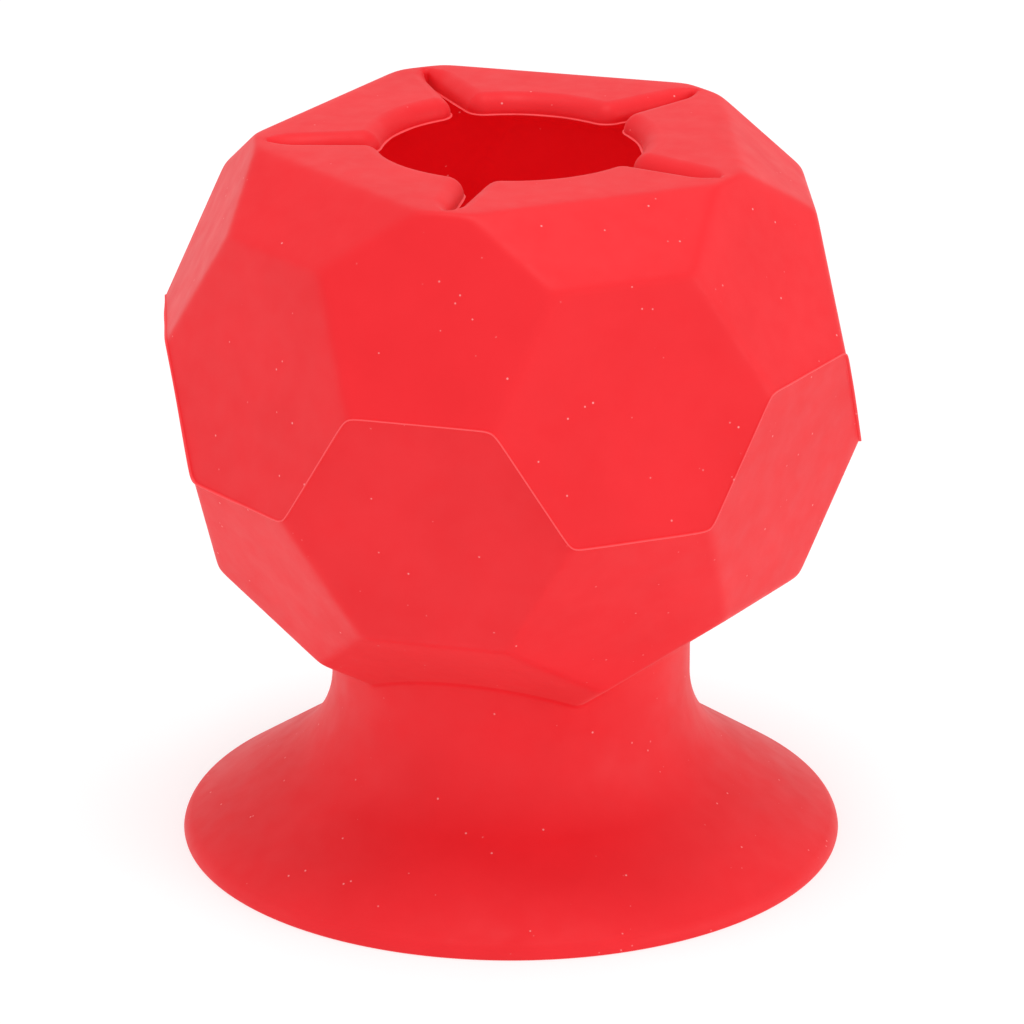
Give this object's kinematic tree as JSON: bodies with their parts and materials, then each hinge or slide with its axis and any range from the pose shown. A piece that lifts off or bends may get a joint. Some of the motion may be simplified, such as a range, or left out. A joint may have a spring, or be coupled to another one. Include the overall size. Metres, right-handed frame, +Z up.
{
  "type": "suction-foot ball holder",
  "caption": "Hollow faceted silicone ball with a star-slit flap mouth on top, on a short round neck and a wide flexible suction foot.",
  "frame": {"origin": "centre of the circle on which the foot's rim rests, at the height of the resting surface", "axes": "+Z up along the common axis of foot, neck and ball, out of the mouth; -Y towards the middle of one upper pentagon, where one slit of the mouth ends"},
  "size_m": [0.0706, 0.0694, 0.0748],
  "materials": {
    "silicone": "matte moulded silicone, bright red"
  },
  "bodies": {
    "base": {"sealing_rim": "silicone", "suction_skirt": "silicone"},
    "holder": {"neck": "silicone", "lower_shell": "silicone", "upper_shell": "silicone"},
    "flap_1": {"mouth_flap_1": "silicone"},
    "flap_2": {"mouth_flap_2": "silicone"},
    "flap_3": {"mouth_flap_3": "silicone"},
    "flap_4": {"mouth_flap_4": "silicone"},
    "flap_5": {"mouth_flap_5": "silicone"}
  },
  "joints": [
    {"name": "foot_press", "type": "slide", "parent": "base", "child": "holder", "axis": [0, 0, -1], "range_m": [0, 0.004], "stiffness_N_per_m": 3000, "deforming": ["suction_skirt"]},
    {"name": "flap_1_bend", "type": "hinge", "parent": "holder", "child": "flap_1", "pos_m": [0.01155, -0.0159, 0.0738], "axis": [-0.809, -0.5878, 0], "range_deg": [-50, 65], "stiffness_Nm_per_rad": 0.004},
    {"name": "flap_2_bend", "type": "hinge", "parent": "holder", "child": "flap_2", "pos_m": [0.01869, 0.00607, 0.0738], "axis": [0.309, -0.9511, 0], "range_deg": [-50, 65], "stiffness_Nm_per_rad": 0.004},
    {"name": "flap_3_bend", "type": "hinge", "parent": "holder", "child": "flap_3", "pos_m": [0, 0.01966, 0.0738], "axis": [1, 0, 0], "range_deg": [-50, 65], "stiffness_Nm_per_rad": 0.004},
    {"name": "flap_4_bend", "type": "hinge", "parent": "holder", "child": "flap_4", "pos_m": [-0.01869, 0.00607, 0.0738], "axis": [0.309, 0.9511, 0], "range_deg": [-50, 65], "stiffness_Nm_per_rad": 0.004},
    {"name": "flap_5_bend", "type": "hinge", "parent": "holder", "child": "flap_5", "pos_m": [-0.01155, -0.0159, 0.0738], "axis": [-0.809, 0.5878, 0], "range_deg": [-50, 65], "stiffness_Nm_per_rad": 0.004}
  ]
}
